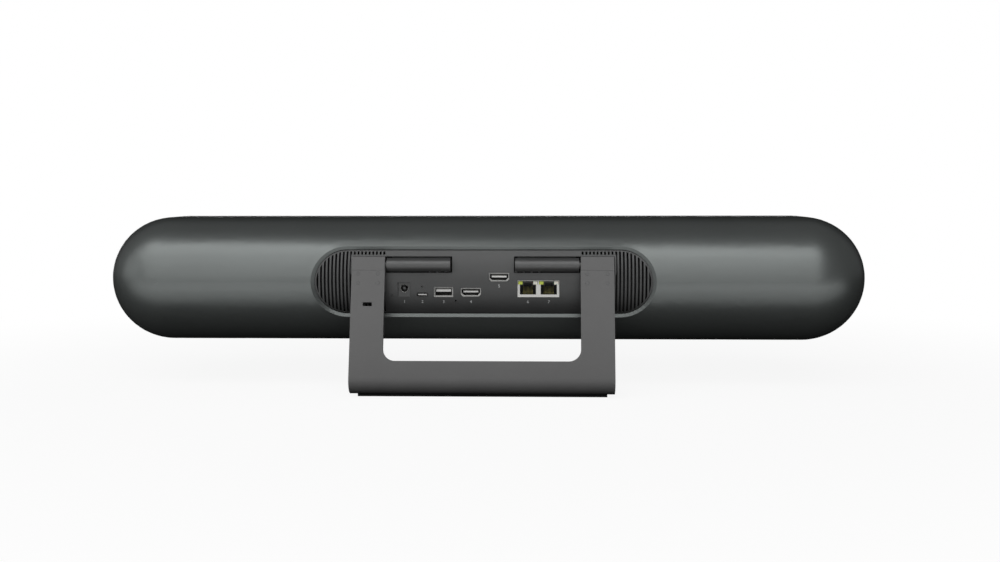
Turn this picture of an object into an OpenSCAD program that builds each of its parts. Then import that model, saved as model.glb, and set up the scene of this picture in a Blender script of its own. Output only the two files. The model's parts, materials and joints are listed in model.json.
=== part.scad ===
/* [Bar housing] */
// Length of the bar, end to end
bar_len = 600; // [580:1:680]
// Height of the bar
bar_h = 98; // [97:0.5:112]
// Depth of the rounded back, from the widest section
dome_depth = 44; // [43.5:0.1:45]
// Depth from the widest section to the front face
front_depth = 42; // [41:0.5:60]
// Wall of the rear shell
shell_wall = 2.5; // [2.2:0.1:2.8]
// Straight skirt of the rear shell, in front of the widest section
skirt_depth = 22; // [18:0.5:24]
// Wall of the front frame
frame_wall = 3.2; // [2.8:0.1:4]
// Rounding of the front frame's outer edge
frame_round = 3; // [1:0.1:3.2]

/* [Recess and connector panel] */
// Length of the pill recess at its rim
recess_len = 265; // [262:1:270]
// Height of the pill recess at its rim
recess_h = 54.8; // [54:0.2:57]
// Width of the sloped rim, seen from behind
bevel_w = 2.6; // [2:0.1:3]
// Depth of the sloped rim
bevel_depth = 2.1; // [0.8:0.05:2.2]
// Groove between the rim and the panel
groove_w = 0.7; // [0.4:0.05:1]
// How far the panel's face lies below the shell's surface
panel_drop = 1.9; // [1.7:0.05:2.1]
// Thickness of the panel
panel_t = 2.9; // [2.6:0.1:3.2]
// Distance between vent slots
vent_pitch = 2.85; // [2.6:0.05:3.2]
// Width of a vent slot
vent_slot = 1.45; // [1:0.05:1.6]
// Middle of the first vent slot, from the middle of the bar
vent_start = 76.3; // [76:0.1:78]

/* [Hinge] */
// Depth of the tilt axis behind the widest section
hinge_y = 43; // [42.8:0.1:45]
// Height of the tilt axis above the bar's middle
hinge_z = 13.5; // [13.2:0.1:14]
// Diameter of the hinge barrels and knuckles
barrel_d = 10.5; // [10.2:0.1:11]
// Inner end of a barrel, from the middle of the bar
barrel_in = 24.7; // [23:0.1:27]
// Outer end of a barrel, from the middle of the bar
barrel_out = 73.3; // [72:0.1:73.6]
// Diameter of the hinge shafts
shaft_d = 6; // [5.4:0.1:6.2]
// Running clearance of a shaft in its barrel, on the radius
shaft_gap = 0.05; // [0.02:0.01:0.09]

/* [Stand] */
// Height of the bar's middle above the table
centre_h = 85.2; // [82:0.2:100]
// Lean of the legs
lean = 15.5; // [12:0.5:18]
// Width of the stand
stand_w = 199.4; // [196:0.2:204]
// Width of the window between the legs
window_w = 148.8; // [148.4:0.1:150]
// Distance along a leg from the tilt axis to the window's lower edge
window_drop = 74.5; // [70:0.5:76]
// Thickness of the stand's plate
plate_t = 3; // [2.5:0.1:3.2]
// Outer radius of the bend
bend_r = 10.4; // [8:0.2:12]
// Length of the flat base in front of the bend
base_len = 96; // [80:1:104]
// Thickness of the rubber foot
foot_t = 2.5; // [2:0.1:4]
// Width of the lock slot
lock_w = 7; // [6:0.1:8]
// Height of the lock slot
lock_h = 3; // [2.5:0.1:4]

/* [Ports] */
// Face of the circuit board, measured down from the bar's middle
board_drop = 11.4; // [11:0.1:12]
// Thickness of the circuit board
board_t = 1.6; // [1:0.1:2]
// Place of the power jack along the bar
power_x = 60.6; // [60:0.1:61]
// Diameter of the power jack's mouth
power_d = 6.3; // [5.6:0.1:6.6]
// Place of the small oval port and of the reset pinhole along the bar
oval_x = 46.8; // [46:0.1:48]
// Place of the flat port along the bar
flat_x = 30.4; // [30:0.1:31]
// Place of the first video port along the bar
video_1_x = 9.4; // [9:0.1:10]
// Place of the raised second video port, on the other side of the middle
video_2_x = 12.3; // [12:0.1:13]
// Middle height of the raised second video port
video_2_z = 3.9; // [3.7:0.1:4.2]
// Middle of the pair of network sockets, on the other side of the middle
network_x = 42.4; // [42:0.1:43]
// Width of one network socket
network_w = 16; // [15.8:0.1:16.2]

/* [Front] */
// Diameter of the camera bezel
bezel_d = 54; // [52:0.5:56]
// How far the camera bezel stands out of the front
bezel_proud = 1.5; // [1:0.1:3]
// Diameter of the cover glass
glass_d = 42; // [40:0.5:44]
// Diameter of the lens barrel's front
lens_d = 33; // [31:0.5:34]
// Middle of each loudspeaker, from the end of the bar
speaker_end = 95; // [85:1:98]
// Diameter of a loudspeaker's flange
speaker_d = 66; // [64:0.5:67]
// Distance between the slots of the front grille
grille_pitch = 4; // [3.6:0.1:5]
// Width of a slot of the front grille
grille_slot = 2; // [1.6:0.1:2.4]

/* [Hidden] */
$fn = 96;

// Clearances, and the overrun that every cut shares
overrun = 1;
seat_gap = 0.1;
fit_gap = 0.3;
port_gap = 0.15;
thread_gap = 0.05;
hinge_gap = 0.9;

// Screws: a shank with a round head
screw_r = 1.25;
screw_head_r = 2.6;
screw_head_t = 2;
screw_len = 9;

// Bar housing
half_h = bar_h / 2;
half_len = bar_len / 2;
flat_half = half_len - half_h;
lip_depth = 5;
lip_t = 1.5;
ledge_w = 2.2;
ledge_t = 3;
ear_r = 4.2;
ear_reach = 2.8;
end_reach = 11;
speaker_x = half_len - speaker_end;
speaker_ear = 55;
ear_x = [66, speaker_x - speaker_ear, flat_half + end_reach];
boss_r = 4;

// Front layers, from the outside inwards
grille_recess = 1;
grille_t = 1.5;
baffle_t = 2.5;
grille_front = -front_depth + grille_recess;
ledge_front = grille_front + grille_t;
baffle_front = ledge_front + ledge_t;
baffle_rear = baffle_front + baffle_t;
grille_margin = 8;
grille_blank = 46;
grille_count = floor((half_len - grille_margin - grille_blank) / grille_pitch);

// Recess and panel
flange_reach = 4.6;
panel_back = panel_drop + panel_t;
panel_mid = panel_drop + panel_t / 2;
flange_drop = shell_wall + seat_gap;
opening_half_len = recess_len / 2 - bevel_w;
opening_half_h = recess_h / 2 - bevel_w;
vent_margin = 1.5;
vent_count = floor((opening_half_len - groove_w - vent_margin - vent_start) / vent_pitch) + 1;
vent_frame = 1.3;
post_r = 3.5;
post_places = [[69.5, -20], [-69.5, -20], [12, 20], [-12, 20]];
bevel_steps = 24;

// Chassis
chassis_y = 20;
chassis_t = 3;
chassis_back = chassis_y + chassis_t;
chassis_half_len = 150;
chassis_half_h = 36;
chassis_round = 8;
chassis_window = [-62, 67];
chassis_window_top = 9.6;
board_gap = 2.5;
shelf_half_len = 58;
shelf_depth = 29;
shelf_t = 2.5;
standoff_h = 5;
standoff_r = 3;
standoff_x = 52;
standoff_y = [-3, 14];
chassis_screw_x = 143;
chassis_screw_z = 24;

// Hinge
barrel_r = barrel_d / 2;
shaft_r = shaft_d / 2;
barrel_len = barrel_out - barrel_in;
counterbore_r = 4.35;
counterbore_len = 27;
web_t = 6;
web_inset = 1.5;
flange_t = 3;
flange_top = 33.5;
bracket_screw_inset = 6;
bracket_screw_z = [21.5, 29.5];
bracket_screw_x = [barrel_in + bracket_screw_inset, barrel_out - bracket_screw_inset];
washer_r = 4;
washer_t = 1;
washer_count = 5;
nut_r = 4;
nut_t = 4;
thread_r = 2.5;
thread_end_len = 1;
cap_len = 2.5;
shaft_head_r = 3.8;
shaft_head_t = 0.6;
stack_start = barrel_in + counterbore_len - fit_gap;
washer_step = washer_t + thread_gap;
nut_start = stack_start - washer_count * washer_step;
leaf_gap = 0.2;
leaf_t = 2.5;
leaf_drop = 21;
leaf_in = window_w / 2 + leaf_gap;
leaf_out = stand_w / 2;
leg_mid = (stand_w + window_w) / 4;
leg_w = (stand_w - window_w) / 2;
rivet_r = 1.6;
rivet_share = 0.3;
rivet_spread = leg_w * rivet_share;
rivet_drop = [7.9, 15.1];

// Stand
plate_bottom = -centre_h + foot_t;
plate_top = -barrel_r - seat_gap;
plate_inner = barrel_r - plate_t;
bend_drop = (hinge_z + (barrel_r - bend_r) * sin(lean) - plate_bottom - bend_r) / cos(lean);
bend_y = hinge_y + (barrel_r - bend_r) * cos(lean) + bend_drop * sin(lean);
bend_z = plate_bottom + bend_r;
window_round = 9.3;
base_round = 12;
foot_inset = 5.3;
foot_back = 1;
foot_round = 8;
lock_drop = 31.5;

// Place of the bar over the middle of the whole object
bezel_front = -front_depth - bezel_proud;
bar_y = -(bezel_front + bend_y + bend_r) / 2;

// Board and ports
board_top = -board_drop;
board_bottom = board_top - board_t;
board_front = -9;
power_w = 9.5;
power_h = 11.2;
power_len = 14;
power_up = 6.7;
power_bore = 10;
power_pin_r = 1;
oval_w = 8.94;
oval_h = 3.26;
oval_wall = 0.35;
oval_len = 7.4;
oval_foot = 3;
oval_tongue = [6.9, 1];
flat_w = 13.3;
flat_h = 7;
flat_rim = [14.8, 7.6];
flat_mouth = [12.5, 5.1];
flat_flare = 0.85;
flat_len = 14;
flat_tongue = [11.2, 1.8];
flat_tongue_up = 1.1;
rim_t = 0.6;
video_w = 14.9;
video_h = 6;
video_rim = [15.5, 6.6];
video_mouth = [13.9, 4.5];
video_flare = 0.45;
video_corner = 1.6;
video_len = 11;
video_up = 3.7;
video_tongue = [11.4, 1.3];
video_tongue_up = 0.4;
port_floor = 1.2;
tongue_short = 1.2;
network_h = 12.8;
network_len = 21;
network_wall = 0.4;
network_lip = 1.8;
network_lip_t = 0.4;
network_mouth = [11.8, 7];
network_mouth_up = 2;
network_notch = [6.4, 2];
network_bore = 14;
network_light = [3.2, 2.4];
network_light_x = 5.7;
network_light_up = 10.9;
network_light_len = 5;
reset_z = -3.5;
reset_hole_r = 0.6;
reset_r = 1.2;
reset_end = 38;
reset_len = 10.2;
reset_switch = [6, 6, 11];
reset_switch_y = 25;
reset_bore = 4.5;
small_holes = [[70.2, -10, 0.45], [21.1, -14.4, 0.75]];

// Processor, heat sink and antennas
sink_y = -5;
processor_size = [28, 20, 2];
sink_size = [88, 22, 33];
sink_base = 3;
sink_fins = 15;
sink_fin_t = 1.6;
antenna_size = [40, 1, 8];
antenna_x = 115;
antenna_z = 26;

// Camera module
bezel_r = bezel_d / 2;
bezel_mouth_r = 19;
glass_r = glass_d / 2;
glass_t = 1.5;
glass_recess = 0.4;
camera_hole_r = 24;
lens_r = lens_d / 2;
lens_rear_r = 15;
lens_lead = 3;
lens_front = baffle_front - lens_lead;
lens_rear = -19;
lens_cup_r = 12.6;
lens_cup = 5;
lens_throat_r = 6;
lens_tail = 4;
lens_tail_r = 9;
glass_bulge = 22;
holder_size = [56, 3, 50];
holder_tube_r = 18;
holder_end = -16;
sensor_board_size = [38, 1.6, 36];
sensor_size = [11, 1, 8.5];
ribbon_w = 16;
ribbon_t = 0.4;
ribbon_reach = 3;
light_size = [14, 2.4];
light_z = -33;
light_flange = 1.2;
light_flange_t = 1;
microphone_size = [220, 1.6, 6];
microphone_z = 34;
microphone_step = 40;
microphone_hole_r = 0.6;

// Loudspeakers
speaker_r = speaker_d / 2;
speaker_flange_w = 5;
speaker_flange_t = 2;
speaker_face = baffle_rear - speaker_flange_t;
basket_t = 1.3;
basket_depth = 17;
basket_end = baffle_rear + basket_depth;
basket_back_r = 18;
basket_plate_t = 1.5;
basket_window = [12, 8];
basket_window_start = 4;
basket_windows = 4;
magnet_r = 20;
magnet_t = 12;
coil_r = 9;
coil_t = 0.6;
coil_gap = 0.6;
coil_groove = 8;
coil_len = 13;
cone_inset = 10.6;
cone_rim_r = speaker_r - cone_inset;
cone_t = 0.8;
cone_depth = 11;
dust_cap_h = 3;
dust_cap_shoulder = 2.2;
surround_roll_r = 2.4;
surround_t = 0.5;
surround_gap = 0.35;
surround_lip = 1.45;
box_clear = 6.3;
box_inset = frame_wall + box_clear;
box_reach = 49;
box_start = speaker_x - box_reach;
box_back = 14;
box_wall = 2;
box_post_inset = 19;
box_post_x = [speaker_x - box_post_inset, flat_half + end_reach];
speaker_screw_r = 1.1;
speaker_screw_head_r = 1.6;
speaker_screw_head_t = 1.5;
speaker_screw_inset = 2.2;

// Depth of the dome's surface, sunk by inset, at a height z
function dome_y(z, inset) = (dome_depth - inset) * sqrt(1 - pow(z / (half_h - inset), 2));

// Height of the front frame's screw ears; those past the straight part follow the round end
function ear_z(x) = half_h - frame_wall - ear_reach
    - (x > flat_half ? half_h - sqrt(pow(half_h, 2) - pow(x - flat_half, 2)) : 0);

port_face = dome_y(board_top, panel_drop);
board_back = dome_y(board_bottom, panel_back) - 2 * fit_gap;

// Placing
module in_bar() translate([0, bar_y, centre_h]) children();
module on_hinge() translate([0, hinge_y, hinge_z]) children();
module on_leg() on_hinge() rotate([lean, 0, 0]) children();
module at_side(side) mirror([side < 0 ? 1 : 0, 0, 0]) children();
module both_sides() {
    children();
    mirror([1, 0, 0]) children();
}

// A drawing in Z and Y, pulled along X
module along_x(start, length)
    translate([start + length, 0, 0]) rotate([0, -90, 0]) linear_extrude(length) children();

// A drawing in X and Z, pulled along Y
module along_y(start, length)
    translate([0, start + length, 0]) rotate([90, 0, 0]) linear_extrude(length) children();

// A drawing in radius and depth, turned about Y
module turned() rotate([-90, 0, 0]) rotate_extrude() children();

module rod_x(start, length, r) translate([start, 0, 0]) rotate([0, 90, 0]) cylinder(h = length, r = r);
module rod_y(start, length, r) translate([0, start, 0]) rotate([-90, 0, 0]) cylinder(h = length, r = r);

// Flat shapes
module pill(half_l, half_w) {
    square([2 * (half_l - half_w), 2 * half_w], center = true);
    for (s = [-1, 1]) translate([s * (half_l - half_w), 0]) circle(half_w);
}

module rounded(size, r) {
    square([size[0] - 2 * r, size[1]], center = true);
    square([size[0], size[1] - 2 * r], center = true);
    for (sx = [-1, 1], sy = [-1, 1])
        translate([sx * (size[0] / 2 - r), sy * (size[1] / 2 - r)]) circle(r);
}

module upright_ellipse(inset) scale([half_h - inset, dome_depth - inset]) circle(r = 1);

// A screw along Y with its head on the face at seat; way is 1 where the shank runs towards +Y
module screw(seat, way, length) {
    translate([0, seat, 0]) mirror([0, way < 0 ? 1 : 0, 0]) {
        rod_y(-screw_head_t, screw_head_t, screw_head_r);
        rod_y(0, length, screw_r);
    }
}

// Holes or screws in one layer
module chassis_places() for (sx = [-1, 1], sz = [-1, 1])
    translate([sx * chassis_screw_x, 0, sz * chassis_screw_z]) children();
module panel_places() for (p = post_places) translate([p[0], 0, p[1]]) children();
module bracket_places() for (x = bracket_screw_x, z = bracket_screw_z) translate([x, 0, z]) children();
module ear_places() for (sx = [-1, 1], sz = [-1, 1], x = ear_x)
    translate([sx * x, 0, sz * ear_z(x)]) children();
module board_places() for (sx = [-1, 1], y = standoff_y) translate([sx * standoff_x, y, 0]) children();
module speaker_places() for (a = [45:90:315]) rotate([0, a, 0])
    translate([speaker_r - speaker_screw_inset, 0, 0]) children();

// The bar's pill shape: a section over one half of the height, swept all round
module round_end()
    translate([flat_half, 0, 0]) rotate([-90, 0, 0]) rotate([0, 0, -90])
        rotate_extrude(angle = 180) children();

module pill_sweep() {
    along_x(-flat_half, 2 * flat_half) {
        children();
        mirror([1, 0]) children();
    }
    both_sides() round_end() children();
}

// Half of the rear section: a quarter ellipse over a straight skirt
module half_section(inset, skirt) {
    intersection() {
        upright_ellipse(inset);
        square([half_h, dome_depth]);
    }
    translate([0, -skirt]) square([half_h - inset, skirt]);
}

// The straight dome between two depths below its surface
module dome_band(outer, inner, half_l) {
    along_x(-half_l, 2 * half_l) difference() {
        intersection() {
            upright_ellipse(outer);
            translate([-half_h, 0]) square([2 * half_h, dome_depth]);
        }
        upright_ellipse(inner);
    }
}

// Stand
module bend_section() {
    reach = 2 * bend_r;
    turn = [90 - lean, 135 - lean / 2, 180];
    intersection() {
        difference() {
            circle(bend_r);
            circle(bend_r - plate_t);
        }
        polygon(concat([[0, 0]], [for (a = turn) [reach * cos(a), reach * sin(a)]]));
    }
}

module base_outline(inset, back, r) {
    half_w = stand_w / 2 - inset;
    front = bend_y - base_len + inset;
    translate([-half_w, front + r]) square([2 * half_w, bend_y - back - front - r]);
    translate([-half_w + r, front]) square([2 * (half_w - r), 2 * r]);
    for (s = [-1, 1]) translate([s * (half_w - r), front + r]) circle(r);
}

module leg_window() {
    tall = window_drop + 2 * barrel_r;
    translate([0, tall / 2 - window_drop]) rounded([window_w, tall], window_round);
    translate([-window_w / 2, plate_top - window_round]) square([window_w, 2 * window_round]);
}

module rivet_rods(r, over) {
    for (s = [-1, 1], drop = rivet_drop) on_leg() translate([leg_mid + s * rivet_spread, 0, -drop])
        rod_y(plate_inner - leaf_t - over, plate_t + leaf_t + 2 * over, r);
}

module stand_plate() {
    color("dimgray") difference() {
        union() {
            along_x(-stand_w / 2, stand_w) {
                translate([hinge_z, hinge_y]) rotate(-lean) translate([-bend_drop, plate_inner])
                    square([bend_drop + plate_top, plate_t]);
                translate([bend_z, bend_y]) bend_section();
            }
            translate([0, 0, plate_bottom]) linear_extrude(plate_t) base_outline(0, 0, base_round);
        }
        on_leg() along_y(plate_inner - overrun, plate_t + 2 * overrun) {
            leg_window();
            translate([leg_mid, -lock_drop]) square([lock_w, lock_h], center = true);
        }
        both_sides() rivet_rods(rivet_r, overrun);
    }
}

module rubber_foot() {
    color("black") translate([0, 0, -centre_h]) linear_extrude(foot_t)
        base_outline(foot_inset, foot_back, foot_round);
}

module hinge_leaf(side) {
    color("gray") at_side(side) difference() {
        on_leg() {
            rod_x(leaf_in, leaf_out - leaf_in, barrel_r);
            translate([leaf_in, 0, -barrel_r]) cube([leaf_out - leaf_in, barrel_r, barrel_d]);
            translate([window_w / 2, plate_inner - leaf_t, -leaf_drop]) cube([leg_w, leaf_t, leaf_drop]);
        }
        on_hinge() {
            rod_x(leaf_in - overrun, leaf_out - leaf_in + 2 * overrun, shaft_r);
            rod_x(leaf_out - shaft_head_t, shaft_head_t + overrun, shaft_head_r);
        }
        rivet_rods(rivet_r, overrun);
    }
}

module leaf_rivets() {
    color("dimgray") both_sides() rivet_rods(rivet_r - thread_gap / 2, 0);
}

module hinge_shaft(side) {
    thread_start = nut_start - nut_t - thread_end_len;
    color("silver") at_side(side) on_hinge() {
        rod_x(thread_start, nut_start - thread_start, thread_r);
        rod_x(nut_start, leaf_out - shaft_head_t - nut_start, shaft_r);
        rod_x(leaf_out - shaft_head_t, shaft_head_t, shaft_head_r);
    }
}

module friction_washers() {
    color("silver") both_sides() on_hinge() for (i = [1:washer_count]) difference() {
        rod_x(stack_start - i * washer_step, washer_t, washer_r);
        rod_x(stack_start - i * washer_step - overrun, washer_t + 2 * overrun, shaft_r + thread_gap);
    }
}

module shaft_nuts() {
    color("silver") both_sides() on_hinge() difference() {
        translate([nut_start - nut_t, 0, 0]) rotate([0, 90, 0]) cylinder(h = nut_t, r = nut_r, $fn = 6);
        rod_x(nut_start - nut_t - overrun, nut_t + 2 * overrun, thread_r + thread_gap);
    }
}

// A ring with a sloped floor that cuts the rim of the recess into the dome
module rim_cutter() {
    slope = bevel_depth / bevel_w;
    rim_r = recess_h / 2;
    straight = recess_len / 2 - rim_r;
    over = overrun / 2;
    // Inward step from the rim's outer line, and depth below the dome's surface
    corners = [[-over, -over * slope], [bevel_w + over, bevel_depth + over * slope],
               [bevel_w + over, -2 * overrun], [-over, -2 * overrun]];
    turns = [for (end = [0, 1], i = [0:bevel_steps]) [1 - 2 * end, 180 * end - 90 + 180 * i / bevel_steps]];
    last = len(turns) - 1;
    points = [for (t = turns, c = corners)
        let (r = rim_r - c[0], z = r * sin(t[1]))
        [t[0] * straight + r * cos(t[1]), dome_y(z, 0) - c[1], z]];
    sides = [for (i = [0:last], k = [0:3])
        let (j = i == last ? 0 : i + 1, m = k == 3 ? 0 : k + 1)
        [i * 4 + k, i * 4 + m, j * 4 + m, j * 4 + k]];
    faces = [for (f = sides, t = [0, 1]) t == 0 ? [f[0], f[1], f[2]] : [f[0], f[2], f[3]]];
    polyhedron(points = points, faces = faces, convexity = 6);
}

module rear_shell() {
    color("slategray") difference() {
        union() {
            pill_sweep() difference() {
                half_section(0, skirt_depth);
                half_section(shell_wall, skirt_depth + overrun);
            }
            intersection() {
                union() {
                    chassis_places() rod_y(chassis_back, dome_depth - chassis_back, boss_r);
                    for (sx = [-1, 1], x = box_post_x) translate([sx * x, 0, 0])
                        rod_y(box_back, dome_depth - box_back, boss_r);
                }
                pill_sweep() half_section(shell_wall / 2, overrun);
            }
        }
        along_y(chassis_y, dome_depth) pill(opening_half_len, opening_half_h);
        rim_cutter();
        chassis_places() rod_y(chassis_y, screw_len, screw_r + thread_gap);
    }
}

// Connector panel
module vent_slots() {
    for (s = [-1, 1], i = [0:vent_count - 1])
        translate([s * (vent_start + i * vent_pitch), 0])
            square([vent_slot, 2 * opening_half_h], center = true);
}

module hinge_windows(grow) {
    start = barrel_in - hinge_gap - grow;
    end = leaf_out + hinge_gap + grow;
    for (s = [-1, 1]) translate([s * (start + end) / 2, hinge_z])
        square([end - start, 2 * (barrel_r + hinge_gap + grow)], center = true);
}

module video_outline(size) {
    w = size[0] / 2;
    h = size[1] / 2;
    c = video_corner;
    polygon([[-w, h], [-w, c - h], [c - w, -h], [w - c, -h], [w, c - h], [w, h]]);
}

function grown(size, gap) = [size[0] + 2 * gap, size[1] + 2 * gap];

module port_windows(gap) {
    translate([power_x, board_top + power_h / 2]) square(grown([power_w, power_h], gap), center = true);
    translate([oval_x, board_top + oval_h / 2 + gap]) pill(oval_w / 2 + gap, oval_h / 2 + gap);
    translate([flat_x, board_top + flat_rim[1] / 2]) rounded(grown(flat_rim, gap), rim_t + gap);
    translate([video_1_x, board_top + video_up]) video_outline(grown(video_rim, gap));
    translate([-video_2_x, video_2_z]) video_outline(grown(video_rim, gap));
    translate([-network_x, board_top + network_h / 2])
        square(grown([2 * network_w, network_h], gap), center = true);
    translate([oval_x, reset_z]) circle(reset_hole_r);
    for (h = small_holes) translate([h[0], h[1]]) circle(h[2]);
}

module connector_panel() {
    flange_len = opening_half_len + flange_reach;
    color("dimgray") difference() {
        union() {
            intersection() {
                dome_band(panel_drop, panel_back, flange_len);
                along_y(0, dome_depth) pill(opening_half_len - groove_w, opening_half_h - groove_w);
            }
            intersection() {
                dome_band(flange_drop, panel_back, flange_len);
                along_y(0, dome_depth) pill(flange_len, opening_half_h + flange_reach);
            }
            intersection() {
                panel_places() rod_y(chassis_back, dome_depth - chassis_back, post_r);
                along_x(-flange_len, 2 * flange_len) upright_ellipse(panel_mid);
            }
        }
        along_y(chassis_y, dome_depth) {
            difference() {
                intersection() {
                    pill(opening_half_len - vent_margin, opening_half_h - vent_margin);
                    vent_slots();
                }
                hinge_windows(vent_frame);
            }
            hinge_windows(0);
            port_windows(port_gap);
        }
        panel_places() rod_y(chassis_y, screw_len, screw_r + thread_gap);
    }
}

// Hinge bracket: a barrel on a web with a screwed flange
module hinge_bracket(side) {
    web_start = barrel_in + web_inset;
    web_len = barrel_len - 2 * web_inset;
    web_z = hinge_z - web_t / 2;
    color("gray") at_side(side) difference() {
        union() {
            on_hinge() rod_x(barrel_in, barrel_len, barrel_r);
            translate([web_start, chassis_back, web_z]) cube([web_len, hinge_y - chassis_back, web_t]);
            translate([web_start, chassis_back, web_z]) cube([web_len, flange_t, flange_top - web_z]);
        }
        on_hinge() {
            rod_x(barrel_in, barrel_len + overrun, shaft_r + shaft_gap);
            rod_x(barrel_in - overrun, counterbore_len + overrun, counterbore_r);
        }
        bracket_places() rod_y(chassis_y, screw_len, screw_r + thread_gap);
    }
}

module barrel_caps() {
    color("black") both_sides() on_hinge() rod_x(barrel_in, cap_len, counterbore_r - thread_gap / 2);
}

module bracket_screws() {
    color("silver") both_sides() bracket_places()
        screw(chassis_back + flange_t, -1, flange_t + chassis_t);
}

// Chassis: an upright plate with a window for the ports, and a shelf for the board
module chassis() {
    shelf_z = board_bottom - standoff_h - shelf_t;
    window_low = board_bottom - board_gap;
    color("lightgray") difference() {
        union() {
            along_y(chassis_y, chassis_t) rounded([2 * chassis_half_len, 2 * chassis_half_h], chassis_round);
            translate([-shelf_half_len, chassis_y - shelf_depth, shelf_z])
                cube([2 * shelf_half_len, shelf_depth + chassis_t, shelf_t]);
            board_places() translate([0, 0, shelf_z]) cylinder(h = standoff_h + shelf_t, r = standoff_r);
        }
        translate([chassis_window[0], chassis_y - overrun, window_low])
            cube([chassis_window[1] - chassis_window[0], chassis_t + 2 * overrun,
                  chassis_window_top - window_low]);
        for (y = [chassis_y - overrun]) {
            hole = chassis_t + 2 * overrun;
            chassis_places() rod_y(y, hole, screw_r + thread_gap);
            panel_places() rod_y(y, hole, screw_r + thread_gap);
            both_sides() bracket_places() rod_y(y, hole, screw_r + thread_gap);
        }
        board_places() translate([0, 0, shelf_z - overrun])
            cylinder(h = standoff_h + shelf_t + 2 * overrun, r = screw_r + thread_gap);
    }
}

module chassis_screws() {
    color("silver") chassis_places() screw(chassis_y, 1, screw_len - fit_gap);
}

module panel_screws() {
    color("silver") panel_places() screw(chassis_y, 1, screw_len - fit_gap);
}

// Front frame, baffle and grille
module frame_section() {
    r = min(frame_round, frame_wall - seat_gap);
    inner = half_h - frame_wall;
    lip_out = half_h - shell_wall - seat_gap;
    intersection() {
        translate([half_h - r, r - front_depth]) circle(r);
        translate([inner, -front_depth]) square([frame_wall, 2 * r]);
    }
    translate([inner, -front_depth]) square([frame_wall - r, front_depth - skirt_depth]);
    translate([inner, r - front_depth]) square([frame_wall, front_depth - skirt_depth - r]);
    translate([inner - ledge_w, ledge_front]) square([ledge_w + frame_wall / 2, ledge_t]);
    translate([lip_out - lip_t, -skirt_depth - ledge_t]) square([lip_t, lip_depth + ledge_t]);
}

module front_frame() {
    color("dimgray") difference() {
        union() {
            pill_sweep() frame_section();
            intersection() {
                ear_places() rod_y(ledge_front, ledge_t, ear_r);
                along_y(ledge_front, ledge_t) pill(half_len - frame_wall / 2, half_h - frame_wall / 2);
            }
        }
        ear_places() rod_y(ledge_front - overrun, ledge_t + 2 * overrun, screw_r + thread_gap);
    }
}

module front_baffle() {
    edge = frame_wall + fit_gap;
    color("black") difference() {
        along_y(baffle_front, baffle_t) difference() {
            pill(half_len - edge, half_h - edge);
            for (s = [-1, 1]) translate([s * speaker_x, 0]) circle(speaker_r + fit_gap);
            circle(camera_hole_r);
        }
        ear_places() rod_y(baffle_front - overrun, baffle_t + 2 * overrun, screw_r + thread_gap);
    }
}

module baffle_screws() {
    color("silver") ear_places() screw(baffle_rear, -1, baffle_t + ledge_t);
}

module front_grille() {
    edge = frame_wall + fit_gap;
    color("darkslategray") along_y(grille_front, grille_t) difference() {
        pill(half_len - edge, half_h - edge);
        circle(bezel_r + fit_gap);
        translate([0, light_z]) pill(light_size[0] / 2 + fit_gap, light_size[1] / 2 + fit_gap);
        intersection() {
            pill(half_len - grille_margin, half_h - grille_margin);
            for (s = [-1, 1], i = [0:grille_count - 1])
                translate([s * (grille_blank + i * grille_pitch), 0])
                    square([grille_slot, bar_h], center = true);
        }
    }
}

// Camera
module camera_bezel() {
    color("black") turned() difference() {
        translate([bezel_mouth_r, bezel_front]) square([bezel_r - bezel_mouth_r, baffle_front - bezel_front]);
        translate([0, bezel_front - overrun])
            square([glass_r + port_gap, glass_recess + glass_t + overrun]);
    }
}

module cover_glass() {
    color("lightblue") rod_y(bezel_front + glass_recess, glass_t, glass_r);
}

module lens_barrel() {
    color("black") turned() difference() {
        union() {
            translate([0, lens_front]) square([lens_r, baffle_rear - lens_front]);
            translate([0, lens_front]) square([lens_rear_r, lens_rear - lens_front]);
        }
        translate([0, lens_front - overrun]) square([lens_cup_r, lens_cup + overrun]);
        translate([0, lens_front]) square([lens_throat_r, lens_rear - lens_front]);
        translate([0, lens_rear - lens_tail]) square([lens_tail_r, lens_tail + overrun]);
    }
}

module front_lens() {
    color("lightblue") turned() intersection() {
        translate([0, lens_front + glass_bulge]) circle(glass_bulge);
        translate([0, lens_front]) square([lens_cup_r - thread_gap, lens_cup]);
    }
}

module rear_lens() {
    color("lightblue") turned() intersection() {
        translate([0, lens_rear - glass_bulge]) circle(glass_bulge);
        translate([0, lens_rear - lens_tail]) square([lens_tail_r - thread_gap, lens_tail]);
    }
}

module lens_holder() {
    color("gray") difference() {
        union() {
            translate([-holder_size[0] / 2, baffle_rear, -holder_size[2] / 2]) cube(holder_size);
            rod_y(baffle_rear, holder_end - baffle_rear, holder_tube_r);
        }
        rod_y(baffle_rear - overrun, holder_end - baffle_rear + 2 * overrun, lens_rear_r + thread_gap);
    }
}

module sensor_board() {
    color("darkgreen") translate([-sensor_board_size[0] / 2, holder_end, -sensor_board_size[2] / 2])
        cube(sensor_board_size);
}

module image_sensor() {
    color("black") translate([-sensor_size[0] / 2, holder_end - sensor_size[1], -sensor_size[2] / 2])
        cube(sensor_size);
}

module camera_ribbon() {
    start = holder_end + sensor_board_size[1];
    length = board_front + ribbon_reach - start;
    color("orange") translate([-ribbon_w / 2, start, board_top]) {
        cube([ribbon_w, ribbon_t, 2 * ribbon_reach]);
        cube([ribbon_w, length, ribbon_t]);
    }
}

module status_light() {
    color("white") translate([0, 0, light_z]) {
        along_y(grille_front, baffle_front - grille_front) pill(light_size[0] / 2, light_size[1] / 2);
        along_y(baffle_front - light_flange_t, light_flange_t)
            pill(light_size[0] / 2 + light_flange, light_size[1] / 2 + light_flange);
    }
}

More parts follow.
